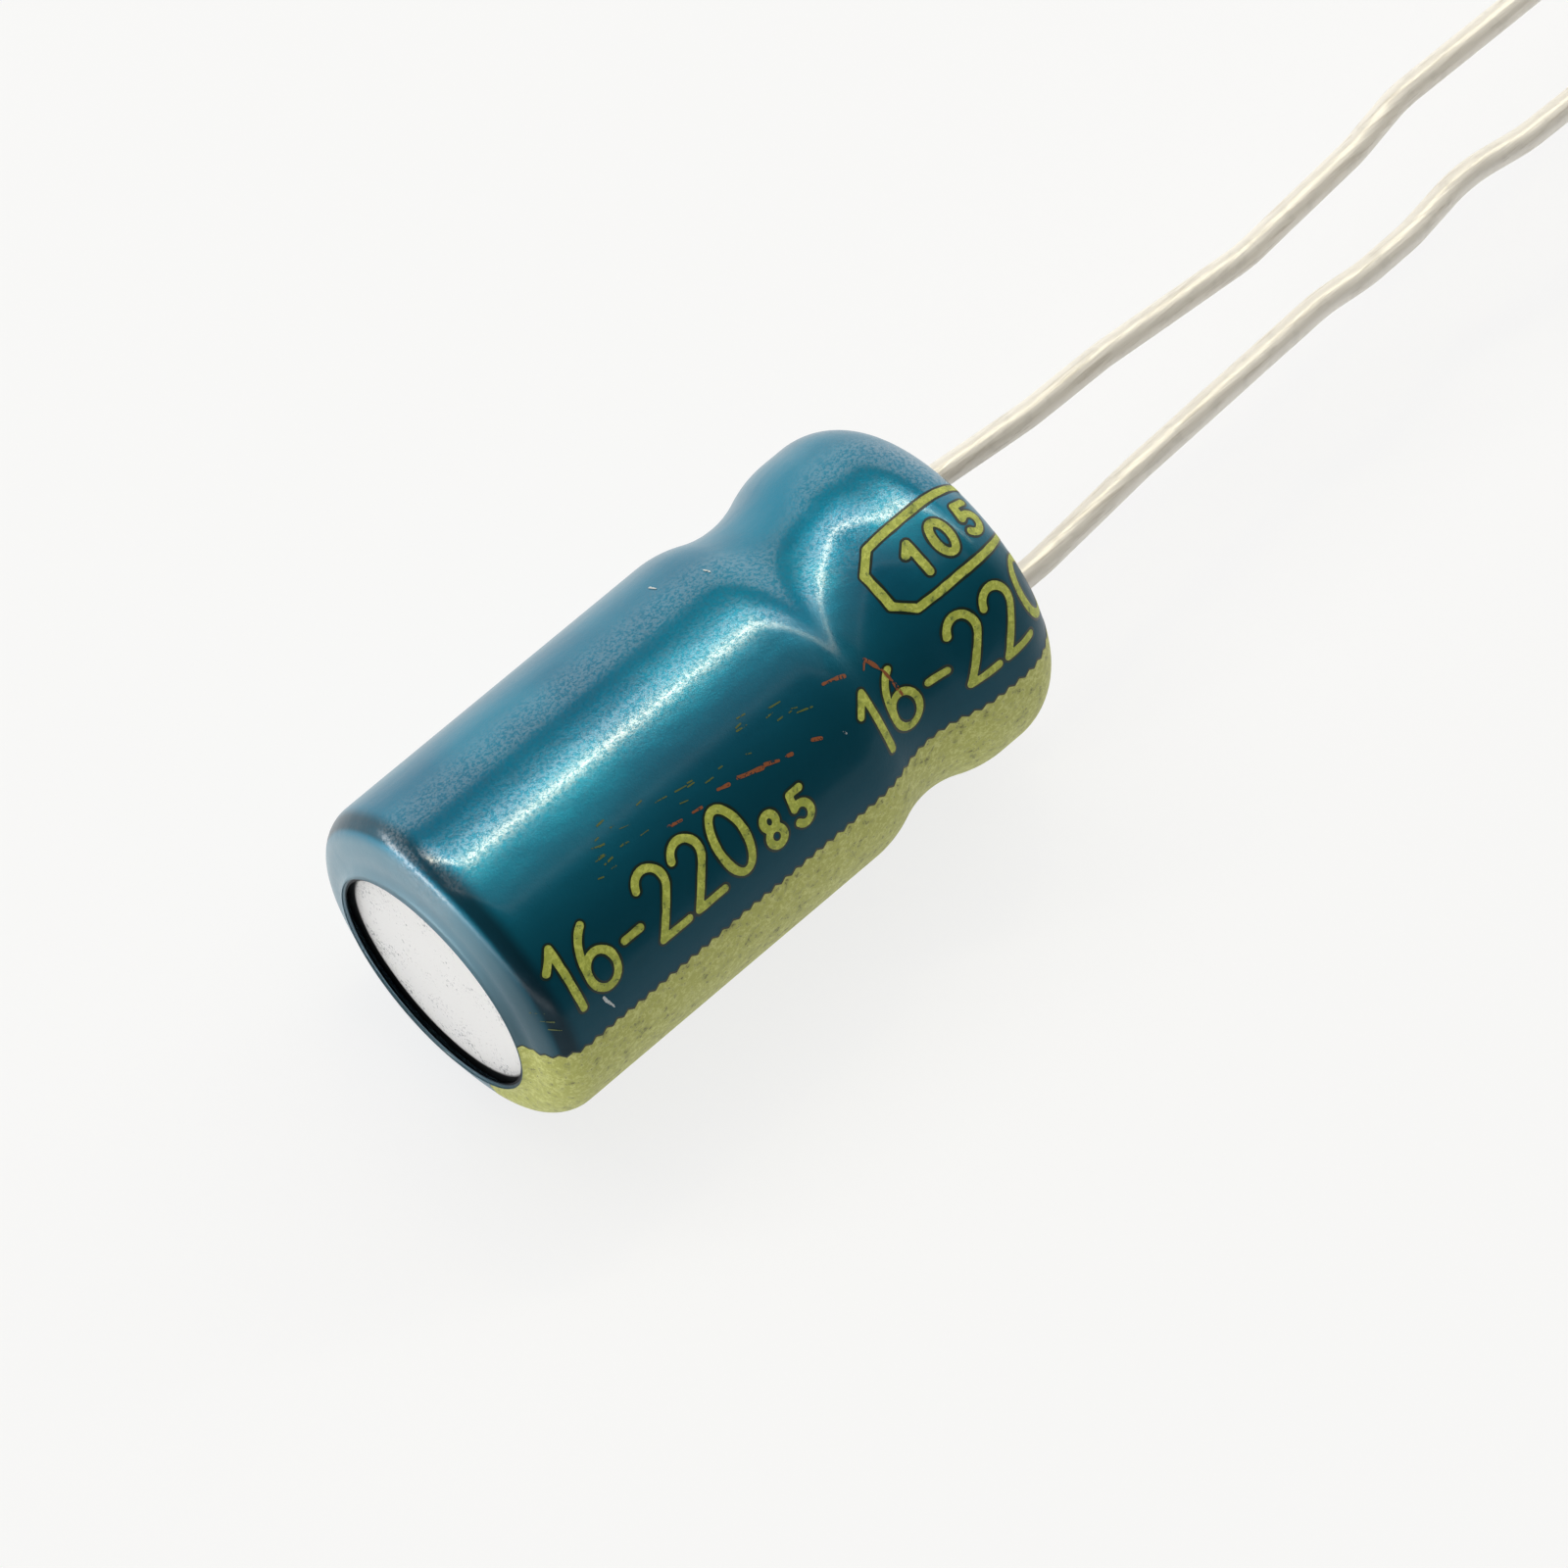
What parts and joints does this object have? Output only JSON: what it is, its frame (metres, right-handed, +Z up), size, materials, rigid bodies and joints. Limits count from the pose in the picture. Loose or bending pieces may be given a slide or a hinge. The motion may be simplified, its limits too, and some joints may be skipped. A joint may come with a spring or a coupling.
{
  "type": "electrolytic capacitor",
  "caption": "Radial aluminium electrolytic capacitor in a shrunk blue sleeve with a pale cathode stripe, lying on its side with its bent tinned leads.",
  "frame": {"origin": "middle of the seat between the two leads, on the can's axis, in the plane that the sleeve's lead end would touch a board with", "axes": "+X along the can's axis from the flat end to the lead tips, +Y from the cathode lead toward the anode lead, +Z up"},
  "size_m": [0.0338, 0.0064, 0.0064],
  "materials": {
    "sleeve": "glossy shrunk film, blue with a matt gold stripe on the cathode's side",
    "can": "matt, faintly speckled",
    "seal": "matt black",
    "etched_foil": "dull grey, etched",
    "plain_foil": "satin",
    "paper": "soaked kraft paper",
    "tape": "amber film",
    "tab": "bare, pressed",
    "lead": "tinned wire, slightly dull"
  },
  "bodies": {
    "root": {"sleeve": "sleeve", "can": "can", "end_seal": "seal", "anode_foil": "etched_foil", "inner_separator": "paper", "cathode_foil": "plain_foil", "outer_separator": "paper", "winding_tape": "tape", "anode_tab": "tab", "cathode_tab": "tab", "anode_lead": "lead", "cathode_lead": "lead"}
  },
  "joints": []
}
